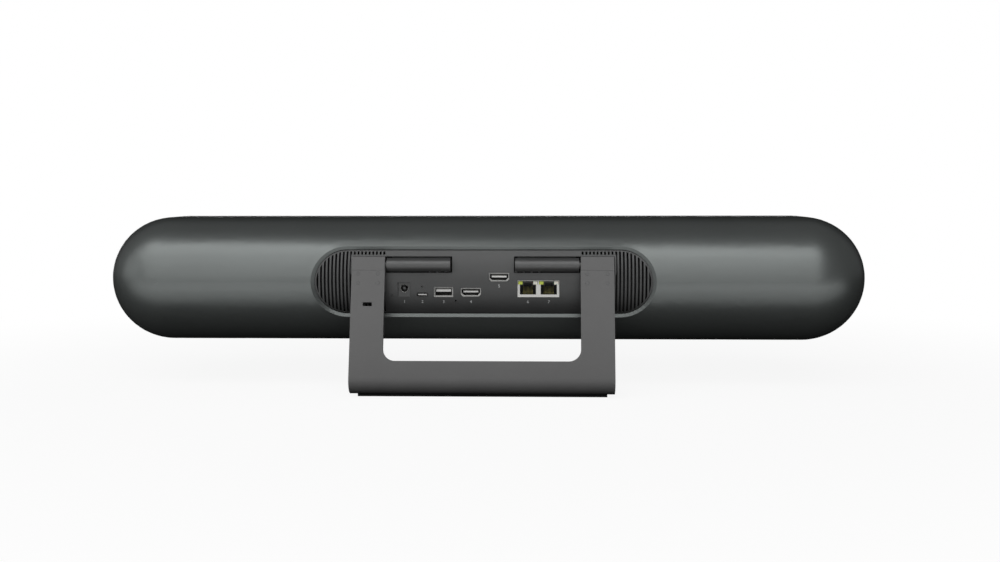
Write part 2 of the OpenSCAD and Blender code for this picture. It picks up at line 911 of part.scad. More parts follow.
module microphone_board() {
    face = baffle_front - microphone_size[1];
    color("darkgreen") difference() {
        translate([-microphone_size[0] / 2, face, microphone_z - microphone_size[2] / 2])
            cube(microphone_size);
        for (i = [-2:2]) translate([i * microphone_step, 0, microphone_z])
            rod_y(face - overrun, microphone_size[1] + 2 * overrun, microphone_hole_r);
    }
}

// Loudspeakers
module box_outline(inset) {
    intersection() {
        pill(half_len - box_inset - inset, half_h - box_inset - inset);
        translate([box_start + inset, -half_h]) square([half_len - box_start, bar_h]);
    }
}

module speaker_box(side) {
    depth = box_back - baffle_rear;
    color("black") at_side(side) difference() {
        along_y(baffle_rear, depth) box_outline(0);
        along_y(baffle_rear + box_wall, depth - 2 * box_wall) box_outline(box_wall);
        translate([speaker_x, baffle_rear - overrun, 0]) {
            rod_y(0, box_wall + 2 * overrun, speaker_r - speaker_flange_w + 2 * fit_gap);
            speaker_places() rod_y(0, box_wall + 2 * overrun, speaker_screw_r + thread_gap);
        }
    }
}

module basket_outline() {
    inner = speaker_r - speaker_flange_w;
    polygon([[inner, speaker_face], [speaker_r, speaker_face], [speaker_r, baffle_rear],
             [inner + fit_gap, baffle_rear], [basket_back_r, basket_end],
             [basket_back_r - basket_t, basket_end], [inner - basket_t, baffle_rear]]);
    translate([coil_r + coil_gap, basket_end - basket_plate_t])
        square([basket_back_r - coil_r - coil_gap, basket_plate_t]);
}

module speaker_frame(side) {
    color("gray") at_side(side) translate([speaker_x, 0, 0]) difference() {
        turned() basket_outline();
        for (i = [1:basket_windows]) rotate([0, i * 360 / basket_windows, 0])
            translate([basket_back_r + basket_t, baffle_rear + basket_window_start, -basket_window[0] / 2])
                cube([speaker_r - basket_back_r, basket_window[1], basket_window[0]]);
        speaker_places() rod_y(speaker_face - overrun, speaker_flange_t + 2 * overrun,
                               speaker_screw_r + thread_gap);
    }
}

module speaker_magnet(side) {
    color("dimgray") at_side(side) translate([speaker_x, basket_end, 0]) turned() difference() {
        square([magnet_r, magnet_t]);
        translate([coil_r - coil_t - coil_gap, -overrun])
            square([coil_t + 2 * coil_gap, coil_groove + overrun]);
    }
}

module speaker_surround(side) {
    roll = cone_rim_r + surround_gap + surround_roll_r;
    roll_end = roll + surround_roll_r - surround_t;
    color("black") at_side(side) translate([speaker_x, speaker_face, 0]) turned() {
        difference() {
            translate([roll, 0]) circle(surround_roll_r);
            translate([roll, 0]) circle(surround_roll_r - surround_t);
            square([speaker_r, surround_roll_r + overrun]);
        }
        translate([roll_end, -surround_t]) square([surround_lip + surround_t, surround_t]);
    }
}

module speaker_cone(side) {
    coil_in = coil_r - coil_t;
    color("dimgray") at_side(side) translate([speaker_x, speaker_face + cone_depth, 0]) turned() {
        polygon([[cone_rim_r - cone_t, -cone_depth], [cone_rim_r, -cone_depth],
                 [coil_r, cone_t], [coil_in, 0]]);
        translate([coil_in, 0]) square([coil_t, coil_len]);
        polygon([[0, -dust_cap_h], [coil_r / 2, -dust_cap_shoulder], [coil_in, 0],
                 [coil_in, cone_t], [coil_r / 2, cone_t - dust_cap_shoulder], [0, cone_t - dust_cap_h]]);
    }
}

module speaker_screws() {
    color("silver") both_sides() translate([speaker_x, speaker_face, 0]) speaker_places() {
        rod_y(-speaker_screw_head_t, speaker_screw_head_t, speaker_screw_head_r);
        rod_y(0, speaker_flange_t + box_wall, speaker_screw_r);
    }
}

// Board, processor and heat sink
module main_board() {
    color("darkgreen") difference() {
        translate([chassis_window[0] + fit_gap, board_front, board_bottom])
            cube([chassis_window[1] - chassis_window[0] - 2 * fit_gap, board_back - board_front, board_t]);
        board_places() translate([0, 0, board_bottom - overrun])
            cylinder(h = board_t + 2 * overrun, r = screw_r + thread_gap);
    }
}

module board_screws() {
    color("silver") board_places() translate([0, 0, board_top]) {
        cylinder(h = screw_head_t, r = screw_head_r);
        translate([0, 0, -board_t - standoff_h]) cylinder(h = board_t + standoff_h, r = screw_r);
    }
}

module processor() {
    color("black") translate([-processor_size[0] / 2, sink_y, board_top]) cube(processor_size);
}

module heat_sink() {
    step = (sink_size[0] - sink_fin_t) / (sink_fins - 1);
    color("silver") translate([-sink_size[0] / 2, sink_y, board_top + processor_size[2]]) {
        cube([sink_size[0], sink_size[1], sink_base]);
        for (i = [0:sink_fins - 1]) translate([i * step, 0, 0])
            cube([sink_fin_t, sink_size[1], sink_size[2]]);
    }
}

module antennas() {
    color("darkgreen") both_sides()
        translate([antenna_x - antenna_size[0] / 2, chassis_y - antenna_size[1], antenna_z])
            cube(antenna_size);
}

// Ports: their faces share one plane, and they stand on the board
module power_jack() {
    mouth = port_face - power_bore;
    color("black") translate([power_x, 0, board_top]) {
        difference() {
            translate([-power_w / 2, port_face - power_len, 0]) cube([power_w, power_len, power_h]);
            translate([0, 0, power_up]) rod_y(mouth, power_bore + overrun, power_d / 2);
        }
        translate([0, 0, power_up]) rod_y(mouth - overrun, power_bore, power_pin_r);
    }
}

module oval_port() {
    color("silver") translate([oval_x, 0, board_top]) difference() {
        union() {
            translate([0, 0, port_gap + oval_h / 2]) along_y(port_face - oval_len, oval_len)
                pill(oval_w / 2, oval_h / 2);
            translate([-oval_w / 4, port_face - oval_len, 0]) cube([oval_w / 2, oval_foot, oval_h / 2]);
        }
        translate([0, 0, port_gap + oval_h / 2]) along_y(port_face - oval_len + port_floor, oval_len)
            pill(oval_w / 2 - oval_wall, oval_h / 2 - oval_wall);
    }
}

module flat_port() {
    mouth_z = flat_rim[1] / 2;
    color("silver") translate([flat_x, 0, board_top]) difference() {
        union() {
            translate([-flat_w / 2, port_face - flat_len, 0]) cube([flat_w, flat_len, flat_h]);
            translate([0, 0, mouth_z]) along_y(port_face - rim_t, rim_t) rounded(flat_rim, rim_t);
        }
        translate([0, 0, mouth_z]) {
            along_y(port_face - flat_len + port_floor, flat_len) square(flat_mouth, center = true);
            hull() {
                along_y(port_face - flat_flare, flat_flare) square(flat_mouth, center = true);
                along_y(port_face, overrun) square(grown(flat_mouth, flat_flare), center = true);
            }
        }
    }
}

module video_port(x, z) {
    foot = z - board_top;
    back = port_face - video_len;
    block_len = board_back - fit_gap - back;
    color("silver") translate([x, 0, z]) difference() {
        union() {
            along_y(back, block_len) square([video_w, video_h], center = true);
            along_y(back, video_len) video_outline([video_w, video_h]);
            along_y(port_face - rim_t, rim_t) video_outline(video_rim);
            translate([-video_w / 2, back, -foot]) cube([video_w, block_len, foot]);
        }
        along_y(back + port_floor, video_len) video_outline(video_mouth);
        hull() {
            along_y(port_face - video_flare, video_flare) video_outline(video_mouth);
            along_y(port_face, overrun) video_outline(grown(video_mouth, video_flare));
        }
    }
}

module tongue(x, z, length, size) {
    translate([x - size[0] / 2, port_face - length + port_floor, z - size[1] / 2])
        cube([size[0], length - port_floor - tongue_short, size[1]]);
}

module port_tongues() {
    color("black") {
        tongue(oval_x, board_top + port_gap + oval_h / 2, oval_len, oval_tongue);
        tongue(flat_x, board_top + flat_rim[1] / 2 + flat_tongue_up, flat_len, flat_tongue);
        tongue(video_1_x, board_top + video_up + video_tongue_up, video_len, video_tongue);
        tongue(-video_2_x, video_2_z + video_tongue_up, video_len, video_tongue);
    }
}

// Network sockets: a metal cage with two plastic inserts
module network_places() for (s = [-1, 1])
    translate([s * network_w / 2 - network_x, port_face - network_len, board_top]) children();

module insert_block() {
    w = network_w - 2 * network_wall;
    translate([-w / 2, network_wall, network_wall])
        cube([w, network_len - network_lip_t - network_wall, network_h - 2 * network_wall]);
}

module cage_window() {
    top = network_h - network_wall;
    shelf = network_light_up - network_light[1] / 2 - thread_gap;
    translate([network_lip - network_w / 2, network_mouth_up])
        square([network_w - 2 * network_lip, top - network_mouth_up]);
    translate([network_wall - network_w / 2, shelf]) square([network_w - 2 * network_wall, top - shelf]);
}

module light_blocks(length, over) {
    for (s = [-1, 1])
        translate([s * network_light_x - network_light[0] / 2, network_len - length,
                   network_light_up - network_light[1] / 2])
            cube([network_light[0], length + over, network_light[1]]);
}

module network_cage() {
    color("silver") difference() {
        network_places() translate([-network_w / 2, 0, 0]) cube([network_w, network_len, network_h]);
        network_places() {
            insert_block();
            along_y(network_len - network_lip_t - overrun, network_lip_t + 2 * overrun) cage_window();
        }
    }
}

module network_inserts() {
    color("black") network_places() difference() {
        insert_block();
        translate([0, network_len - network_bore, network_mouth_up]) {
            translate([-network_mouth[0] / 2, 0, 0])
                cube([network_mouth[0], network_bore + overrun, network_mouth[1]]);
            translate([-network_notch[0] / 2, 0, 0])
                cube([network_notch[0], network_bore + overrun, network_mouth[1] + network_notch[1]]);
        }
        light_blocks(network_light_len, overrun);
    }
}

module network_lights() {
    color("yellow") network_places() light_blocks(network_light_len, 0);
}

module reset_switch() {
    end = reset_switch_y + reset_switch[1];
    color("black") difference() {
        translate([oval_x - reset_switch[0] / 2, reset_switch_y, board_top]) cube(reset_switch);
        translate([oval_x, 0, reset_z]) rod_y(end - reset_bore, reset_bore + overrun, reset_r + thread_gap);
    }
}

module reset_button() {
    color("white") translate([oval_x, 0, reset_z]) rod_y(reset_end - reset_len, reset_len, reset_r);
}

in_bar() stand_plate();
in_bar() rubber_foot();
in_bar() hinge_leaf(1);  // hinge_leaf_left
in_bar() hinge_leaf(-1);  // hinge_leaf_right
in_bar() leaf_rivets();
in_bar() hinge_shaft(1);  // hinge_shaft_left
in_bar() hinge_shaft(-1);  // hinge_shaft_right
in_bar() friction_washers();
in_bar() shaft_nuts();
in_bar() rear_shell();
in_bar() connector_panel();
in_bar() hinge_bracket(1);  // hinge_bracket_left
in_bar() hinge_bracket(-1);  // hinge_bracket_right
in_bar() barrel_caps();
in_bar() bracket_screws();
in_bar() chassis();
in_bar() chassis_screws();
in_bar() panel_screws();
in_bar() front_frame();
in_bar() front_baffle();
in_bar() baffle_screws();
in_bar() front_grille();
in_bar() camera_bezel();
in_bar() cover_glass();
in_bar() lens_barrel();
in_bar() front_lens();
in_bar() rear_lens();
in_bar() lens_holder();
in_bar() sensor_board();
in_bar() image_sensor();
in_bar() camera_ribbon();
in_bar() status_light();
in_bar() microphone_board();
in_bar() speaker_box(1);  // speaker_box_left
in_bar() speaker_box(-1);  // speaker_box_right
in_bar() speaker_frame(1);  // speaker_frame_left
in_bar() speaker_frame(-1);  // speaker_frame_right
in_bar() speaker_magnet(1);  // speaker_magnet_left
in_bar() speaker_magnet(-1);  // speaker_magnet_right
in_bar() speaker_surround(1);  // speaker_surround_left
in_bar() speaker_surround(-1);  // speaker_surround_right
in_bar() speaker_cone(1);  // speaker_cone_left
in_bar() speaker_cone(-1);  // speaker_cone_right
in_bar() speaker_screws();
in_bar() main_board();
in_bar() board_screws();
in_bar() processor();
in_bar() heat_sink();
in_bar() antennas();
in_bar() power_jack();
in_bar() oval_port();
in_bar() flat_port();
in_bar() video_port(video_1_x, board_top + video_up);  // video_port_1
in_bar() video_port(-video_2_x, video_2_z);  // video_port_2
in_bar() port_tongues();
in_bar() network_cage();
in_bar() network_inserts();
in_bar() network_lights();
in_bar() reset_switch();
in_bar() reset_button();
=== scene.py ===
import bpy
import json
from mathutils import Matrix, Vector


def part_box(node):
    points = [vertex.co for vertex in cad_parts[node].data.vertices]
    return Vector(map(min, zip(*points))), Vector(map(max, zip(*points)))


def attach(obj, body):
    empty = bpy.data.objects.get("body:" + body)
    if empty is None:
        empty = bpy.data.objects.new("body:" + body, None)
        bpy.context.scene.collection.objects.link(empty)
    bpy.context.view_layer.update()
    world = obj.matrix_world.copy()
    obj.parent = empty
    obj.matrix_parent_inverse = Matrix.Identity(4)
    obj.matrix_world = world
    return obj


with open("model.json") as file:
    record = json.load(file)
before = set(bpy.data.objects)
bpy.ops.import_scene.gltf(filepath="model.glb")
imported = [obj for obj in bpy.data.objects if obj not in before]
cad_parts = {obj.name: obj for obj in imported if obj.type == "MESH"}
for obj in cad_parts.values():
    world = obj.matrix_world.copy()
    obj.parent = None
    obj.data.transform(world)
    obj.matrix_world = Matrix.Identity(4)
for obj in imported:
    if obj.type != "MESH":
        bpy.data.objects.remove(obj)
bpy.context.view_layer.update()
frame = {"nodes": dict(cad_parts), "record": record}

import json
import math

import bmesh
import bpy
from mathutils import Matrix, Vector

MM = 0.001
DOME_DEPTH = 44.0
shell_low, shell_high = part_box("rear_shell")
BAR = Vector((0, shell_high.y - DOME_DEPTH * MM, (shell_low.z + shell_high.z) / 2))

# The photograph's camera, in millimetres and degrees, aimed at a point of the bar
AIM = (-11.67, 0.0, -2.43)
DISTANCE = 900.0
YAW, PITCH, ROLL = 1.87, 4.73, 0.08
FOCAL_PX = 1120.75
IMAGE_W = 1000
SENSOR = 36.0
CLIP = (0.01, 100)

# Places on the back, in millimetres from the bar's middle: the face of the ports, the top of the board,
# the middle of the pair of network sockets, each video port's middle, and the panel's curve
PORT_FACE = 40.85
BOARD_TOP = -11.4
NETWORK_X = 42.4
NETWORK_W = 16.0
VIDEO_TONGUES = [(9.4, -7.3), (-12.3, 4.3)]
PANEL_DEPTH, PANEL_HALF = 42.1, 47.1

# The numbers printed under the ports: the number, its middle across, and its middle up
LABELS = [("1", 60.6, -15.2), ("2", 46.8, -15.2), ("3", 30.4, -15.2), ("4", 9.4, -15.2),
          ("5", -12.3, -2.9), ("6", -34.4, -15.2), ("7", -50.4, -15.2)]
LABEL_SIZE = 3.2
PRINT_T = 0.02
PRINT_PROUD = 0.03

# Contact wires in each network socket: how many, their spacing, half their width, and the points of one
# wire as its depth behind the port's face and its height over the board
WIRE_COUNT, WIRE_PITCH, WIRE_HALF = 8, 1.02, 0.17
WIRE_PATH = [(2.2, 2.35), (3.4, 2.9), (9.5, 7.2), (13.6, 7.6)]

# Contact strips on a video port's tongue: the height of each row's face from the tongue's middle with the
# number of strips, their spacing, half their width and thickness, and their ends behind the port's face
STRIP_ROWS = [(0.66, 10), (-0.66, 9)]
STRIP_PITCH, STRIP_HALF, STRIP_HALF_T = 1.0, 0.22, 0.04
STRIP_ENDS = (8.0, 1.5)

# The power jack's middle, and its sleeve's outline as radii and depths behind the port's face
JACK_X, JACK_RISE = 60.6, 6.7
SLEEVE_R, SLEEVE_T, LIP_T = 3.1, 0.25, 0.1
SLEEVE_START, SLEEVE_TURN, SLEEVE_END = 0.6, 1.0, 9.0
SLEEVE_SIDES = 40

# Painted shade inside the ports' plated sheet: the depth at which it is still bright, the depth at which it
# is dark, and how dark
BRIGHT_DEPTH, DARK_DEPTH, INSIDE_SHADE_SHARE = 0.3, 2.5, 0.08
COAT_ROUGH = 0.05
GLASS_ROUGH = 0.02
GLASS_IOR = 1.5

# The studio, in metres: the floor's and the wall's edges, and where the object's shadow fades away
FLOOR_SIDE, FLOOR_FAR, FLOOR_NEAR, WALL_H = 8, -6, 8, 7
FADE_START, FADE_END = 0.25, 0.75
SHADOW_SHARE = 0.1
LIT_FLOOR = (0.9, 0.9, 0.9)
DIM_FLOOR = (0.02, 0.02, 0.02)
ROOM_COLOUR, ROOM_STRENGTH = (0.3, 0.3, 0.3), 0.5

# Lamps, in metres and watts: name, place, what it faces, size and power. The strips stand behind the bar
# at rising heights, the cards lie on the floor and the fill stands in front of it.
BAR_AIM = (0.0, 0.0, 0.09)
LAMPS = [
    ("high_strip", (0.3, 1.1, 1.75), BAR_AIM, (3.2, 0.35), 12.2),
    ("key_strip", (0.3, 1.4, 1.45), BAR_AIM, (3.2, 0.35), 8.1),
    ("key_side", (2.0, 0.8, 1.35), BAR_AIM, (1.0, 0.5), 2.1),
    ("middle_strip", (0.3, 1.7, 1.05), BAR_AIM, (3.2, 0.4), 7.6),
    ("low_strip", (0.3, 1.9, 0.45), BAR_AIM, (3.2, 0.7), 8.7),
    ("side", (2.2, 0.7, 0.5), BAR_AIM, (1.4, 1.0), 3.9),
    ("card", (0.0, 0.42, 0.002), (0.0, 0.42, 1.0), (2.0, 0.3), 3.5),
    ("near_card", (0.0, 0.18, 0.002), (0.0, 0.18, 1.0), (1.6, 0.14), 0.5),
    ("front_fill", (0.3, -2.3, 0.1), BAR_AIM, (2.6, 0.3), 9.0),
]


def at(x, y, z):
    """A point given in millimetres from the middle of the bar's widest section."""
    return BAR + Vector((x, y, z)) * MM


def aim_camera():
    yaw, pitch, roll = (math.radians(a) for a in (YAW, PITCH, ROLL))
    forward = Vector((math.sin(yaw) * math.cos(pitch), -math.cos(yaw) * math.cos(pitch), -math.sin(pitch)))
    level = Vector((-math.cos(yaw), -math.sin(yaw), 0))
    up = level.cross(forward)
    right = level * math.cos(roll) - up * math.sin(roll)
    up = level * math.sin(roll) + up * math.cos(roll)
    data = bpy.data.cameras.new("camera")
    data.sensor_width = SENSOR
    data.lens = SENSOR * FOCAL_PX / IMAGE_W
    data.clip_start, data.clip_end = CLIP
    cam = bpy.data.objects.new("camera", data)
    bpy.context.scene.collection.objects.link(cam)
    turn = Matrix((right, up, -forward)).transposed().to_4x4()
    cam.matrix_world = Matrix.Translation(at(*AIM) - forward * DISTANCE * MM) @ turn
    bpy.context.scene.camera = cam


class Nodes:
    """A material's node tree, with short calls for the nodes used here."""

    def __init__(self, name):
        self.mat = bpy.data.materials.new(name)
        self.mat.use_nodes = True
        self.tree = self.mat.node_tree
        self.bsdf = self.tree.nodes["Principled BSDF"]
        self.coords = self.add("ShaderNodeTexCoord").outputs["Object"]

    def add(self, kind, **settings):
        node = self.tree.nodes.new(kind)
        for key, value in settings.items():
            setattr(node, key, value)
        return node

    def link(self, source, target):
        self.tree.links.new(source, target)

    def stretched(self, scale):
        node = self.add("ShaderNodeMapping")
        node.inputs["Scale"].default_value = scale
        self.link(self.coords, node.inputs["Vector"])
        return node.outputs["Vector"]

    def noise(self, scale, detail=3.0, stretch=None):
        node = self.add("ShaderNodeTexNoise")
        node.inputs["Scale"].default_value = scale
        node.inputs["Detail"].default_value = detail
        self.link(self.stretched(stretch) if stretch else self.coords, node.inputs["Vector"])
        return node.outputs["Fac"]

    def ramp(self, source, low, high, start=0.3, end=0.7):
        node = self.add("ShaderNodeMapRange")
        node.inputs["From Min"].default_value = start
        node.inputs["From Max"].default_value = end
        node.inputs["To Min"].default_value = low
        node.inputs["To Max"].default_value = high
        self.link(source, node.inputs["Value"])
        return node.outputs["Result"]

    def mix(self, source, low, high):
        node = self.add("ShaderNodeMix", data_type="RGBA")
        node.inputs["A"].default_value = (*low, 1)
        node.inputs["B"].default_value = (*high, 1)
        self.link(source, node.inputs["Factor"])
        return node.outputs["Result"]

    def maths(self, operation, a, b):
        node = self.add("ShaderNodeMath", operation=operation)
        for socket, value in zip(node.inputs, (a, b)):
            if hasattr(value, "links"):
                self.link(value, socket)
            else:
                socket.default_value = value
        return node.outputs["Value"]

    def bump(self, height, strength, distance, round_edge=0.0):
        node = self.add("ShaderNodeBump")
        node.inputs["Strength"].default_value = strength
        node.inputs["Distance"].default_value = distance
        self.link(height, node.inputs["Height"])
        if round_edge:
            bevel = self.add("ShaderNodeBevel", samples=4)
            bevel.inputs["Radius"].default_value = round_edge * MM
            self.link(bevel.outputs["Normal"], node.inputs["Normal"])
        self.link(node.outputs["Normal"], self.bsdf.inputs["Normal"])

    def set(self, **values):
        for key, value in values.items():
            self.bsdf.inputs[key.replace("_", " ")].default_value = value


def finish(name, colour, rough, metallic=0.0, specular=0.5, spread=0.12, grain=1400.0,
           grain_depth=0.00002, grain_strength=0.25, patch=35.0, rough_spread=0.05, stretch=None,
           edge=0.0, coat=0.0):
    """A painted, moulded or metal surface: soft patches in colour and gloss, and a fine grain."""
    n = Nodes(name)
    light = tuple(min(1.0, c * (1 + spread)) for c in colour)
    dark = tuple(c * (1 - spread) for c in colour)
    wide = n.noise(patch, 4.0)
    fine = n.noise(grain, 2.0, stretch)
    blend = n.maths("ADD", n.maths("MULTIPLY", wide, 0.6), n.maths("MULTIPLY", fine, 0.4))
    n.link(n.mix(n.ramp(blend, 0.0, 1.0, 0.36, 0.64), dark, light), n.bsdf.inputs["Base Color"])
    n.link(n.ramp(blend, rough - rough_spread, rough + rough_spread), n.bsdf.inputs["Roughness"])
    n.set(Metallic=metallic)
    n.bsdf.inputs["Specular IOR Level"].default_value = specular
    n.bsdf.inputs["Coat Weight"].default_value = coat
    n.bsdf.inputs["Coat Roughness"].default_value = COAT_ROUGH
    n.bump(fine, grain_strength, grain_depth, edge)
    return n.mat


def brushed(name, colour, rough=0.3, stretch=(1, 40, 40), edge=0.0):
    return finish(name, colour, rough, metallic=1.0, spread=0.06, grain=900.0, grain_depth=0.00001,
                  grain_strength=0.3, stretch=stretch, rough_spread=0.08, edge=edge)


def port_metal(name, colour):
    """Plated sheet that is bright at the mouth of a port, with painted shade that darkens it inside the
    port.
    """
    n = Nodes(name)
    split = n.add("ShaderNodeSeparateXYZ")
    n.link(n.coords, split.inputs["Vector"])
    mouth = BAR.y + PORT_FACE * MM
    depth = n.ramp(split.outputs["Y"], 0.0, 1.0, mouth - DARK_DEPTH * MM, mouth - BRIGHT_DEPTH * MM)
    fine = n.noise(1500.0, 2.0)
    # Painted shade: the colour darkens with depth behind the port's face, times a little random grain
    shade_and_grain = n.maths("MULTIPLY", depth, n.ramp(fine, 0.85, 1.0))
    n.link(n.mix(shade_and_grain, tuple(c * INSIDE_SHADE_SHARE for c in colour), colour), n.bsdf.inputs["Base Color"])
    n.link(n.ramp(fine, 0.35, 0.48), n.bsdf.inputs["Roughness"])
    n.set(Metallic=0.35)
    n.bump(fine, 0.2, 0.00001, 0.08)
    return n.mat


def clear(name, colour):
    """Polished glass with a faint smear in its gloss."""
    n = Nodes(name)
    smear = n.noise(60.0, 3.0)
    n.link(n.ramp(smear, GLASS_ROUGH, GLASS_ROUGH + 0.03), n.bsdf.inputs["Roughness"])
    n.link(n.mix(smear, colour, tuple(c * 0.97 for c in colour)), n.bsdf.inputs["Base Color"])
    n.set(IOR=GLASS_IOR)
    n.bsdf.inputs["Transmission Weight"].default_value = 1.0
    n.bump(smear, 0.02, 0.00001)
    return n.mat


def solder_mask(name, colour):
    """A circuit board: tracks as thin bands under a green mask, with small pads."""
    n = Nodes(name)
    cells = n.add("ShaderNodeTexBrick")
    cells.inputs["Scale"].default_value = 260.0
    cells.inputs["Mortar Size"].default_value = 0.012
    cells.inputs["Color1"].default_value = (*colour, 1)
    cells.inputs["Color2"].default_value = (*(c * 0.8 for c in colour), 1)
    cells.inputs["Mortar"].default_value = (*(min(1, c * 2.2) for c in colour), 1)
    n.link(n.coords, cells.inputs["Vector"])
    n.link(cells.outputs["Color"], n.bsdf.inputs["Base Color"])
    n.link(n.ramp(n.noise(200.0), 0.3, 0.45), n.bsdf.inputs["Roughness"])
    n.bump(cells.outputs["Fac"], 0.2, 0.00003)
    return n.mat


def two_lights(name):
    """The little windows over the network sockets: the left one is yellow-green, the other pale."""
    n = Nodes(name)
    split = n.add("ShaderNodeSeparateXYZ")
    n.link(n.coords, split.inputs["Vector"])
    along = n.maths("ADD", split.outputs["X"], NETWORK_X * MM)
    within = n.maths("WRAP", along, 0.0)
    within.node.inputs[1].default_value = NETWORK_W * MM
    within.node.inputs[2].default_value = 0.0
    side = n.maths("GREATER_THAN", within, NETWORK_W * MM / 2)
    cloud = n.noise(900.0)
    tint = n.mix(side, (0.62, 0.62, 0.55), (0.42, 0.5, 0.06))
    shade = n.add("ShaderNodeMix", data_type="RGBA", blend_type="MULTIPLY")
    shade.inputs["Factor"].default_value = 0.4
    n.link(tint, shade.inputs["A"])
    n.link(n.mix(cloud, (0.8, 0.8, 0.8), (1, 1, 1)), shade.inputs["B"])
    n.link(shade.outputs["Result"], n.bsdf.inputs["Base Color"])
    n.link(n.ramp(cloud, 0.25, 0.4), n.bsdf.inputs["Roughness"])
    n.bsdf.inputs["Subsurface Weight"].default_value = 0.2
    n.bsdf.inputs["Subsurface Scale"].default_value = 0.0005
    n.bump(cloud, 0.1, 0.00001)
    return n.mat


LOOKS = {
    "stand_paint": lambda: finish("stand_paint", (0.113, 0.113, 0.113), 0.62, specular=0.3, spread=0.05,
                                  grain=1900.0, grain_strength=0.3, edge=0.15),
    "foot_rubber": lambda: finish("foot_rubber", (0.016, 0.016, 0.016), 0.8, specular=0.2, grain=900.0,
                                  grain_strength=0.5, edge=0.3),
    "hinge_paint": lambda: finish("hinge_paint", (0.088, 0.089, 0.089), 0.4, metallic=0.6, spread=0.05,
                                  grain=1900.0, grain_strength=0.3, edge=0.3),
    "steel": lambda: brushed("steel", (0.12, 0.12, 0.12), 0.45, edge=0.1),
    "black_screw": lambda: finish("black_screw", (0.03, 0.03, 0.03), 0.4, metallic=0.6, edge=0.1),
    "shell_paint": lambda: finish("shell_paint", (0.135, 0.146, 0.143), 0.34, metallic=0.75, specular=0.5,
                                  spread=0.04, grain=2600.0, grain_strength=0.18, patch=12.0,
                                  rough_spread=0.02, edge=0.25),
    "panel_plastic": lambda: finish("panel_plastic", (0.064, 0.065, 0.065), 0.42, metallic=0.7, spread=0.05,
                                    grain=2200.0, grain_strength=0.3, rough_spread=0.02, edge=0.15),
    "black_plastic": lambda: finish("black_plastic", (0.012, 0.012, 0.012), 0.5, specular=0.4,
                                    grain=1600.0, edge=0.1),
    "chassis_metal": lambda: finish("chassis_metal", (0.02, 0.02, 0.02), 0.6, specular=0.3, grain=900.0),
    "frame_paint": lambda: finish("frame_paint", (0.135, 0.146, 0.143), 0.34, metallic=0.75, spread=0.04,
                                  grain=2600.0, grain_strength=0.18, patch=12.0, rough_spread=0.02,
                                  edge=0.3),
    "grille_metal": lambda: finish("grille_metal", (0.028, 0.029, 0.029), 0.55, specular=0.4, grain=1800.0,
                                   edge=0.2),
    "gloss_black": lambda: finish("gloss_black", (0.006, 0.006, 0.006), 0.16, specular=0.6, coat=0.6,
                                  grain=300.0, grain_strength=0.03, edge=0.3),
    "clear_glass": lambda: clear("clear_glass", (0.93, 0.95, 0.96)),
    "board_green": lambda: solder_mask("board_green", (0.012, 0.09, 0.045)),
    "ribbon_film": lambda: finish("ribbon_film", (0.4, 0.2, 0.05), 0.35, coat=0.3, stretch=(60, 1, 1),
                                  grain=400.0),
    "light_guide": lambda: finish("light_guide", (0.7, 0.74, 0.74), 0.3, specular=0.5, grain=500.0),
    "basket_paint": lambda: finish("basket_paint", (0.03, 0.03, 0.03), 0.4, specular=0.5, edge=0.2),
    "magnet": lambda: finish("magnet", (0.09, 0.09, 0.095), 0.5, metallic=0.7, edge=0.2),
    "surround_rubber": lambda: finish("surround_rubber", (0.014, 0.014, 0.014), 0.55, specular=0.3),
    "cone_pulp": lambda: finish("cone_pulp", (0.035, 0.035, 0.037), 0.8, specular=0.2, grain=700.0,
                                grain_strength=0.8, spread=0.25),
    "chip": lambda: finish("chip", (0.02, 0.02, 0.021), 0.45, edge=0.1),
    "sink_metal": lambda: brushed("sink_metal", (0.56, 0.57, 0.58), 0.38, stretch=(40, 1, 40)),
    "port_steel": lambda: port_metal("port_steel", (0.56, 0.56, 0.54)),
    "white_plastic": lambda: finish("white_plastic", (0.6, 0.6, 0.58), 0.45),
    "light_yellow": lambda: two_lights("light_yellow"),
    "tongue_plastic": lambda: finish("tongue_plastic", (0.55, 0.55, 0.54), 0.45, specular=0.4, edge=0.1),
    "dark_steel": lambda: brushed("dark_steel", (0.06, 0.06, 0.06), 0.4, edge=0.05),
    "contact_gold": lambda: finish("contact_gold", (0.3, 0.27, 0.1), 0.35, metallic=0.35, spread=0.06,
                                   grain=900.0),
    "connector_steel": lambda: port_metal("connector_steel", (0.36, 0.36, 0.35)),
    "print_ink": lambda: finish("print_ink", (0.42, 0.43, 0.43), 0.6, specular=0.2, spread=0.1,
                                grain=3000.0),
}
# Connectors whose shells are duller than the sheet of the network sockets
NODE_LOOKS = {"video_port_1": "connector_steel", "video_port_2": "connector_steel",
              "flat_port": "connector_steel"}
made = {}


def look(slot):
    if slot not in made:
        made[slot] = LOOKS[slot]()
    return made[slot]


def dress_nodes():
    for part in frame["record"]["subparts"]:
        node = frame["nodes"][part["node"]]
        node.data.materials.clear()
        node.data.materials.append(look(NODE_LOOKS.get(part["node"], part["material_slot"])))


def new_piece(name, mesh, material, body):
    piece = bpy.data.objects.new(name, mesh)
    bpy.context.scene.collection.objects.link(piece)
    piece.data.materials.clear()
    piece.data.materials.append(look(material))
    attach(piece, body)
    return piece


def block(bm, low, high):
    """A box between two corners given in millimetres from the bar's middle."""
    a, b = at(*low), at(*high)
    made_box = bmesh.ops.create_cube(bm, size=1.0)
    for v in made_box["verts"]:
        v.co = Vector((a[i] if v.co[i] < 0 else b[i] for i in range(3)))


def mesh_of(name, build):
    bm = bmesh.new()
    build(bm)
    bmesh.ops.recalc_face_normals(bm, faces=bm.faces[:])
    mesh = bpy.data.meshes.new(name)
    bm.to_mesh(mesh)
    bm.free()
    return mesh


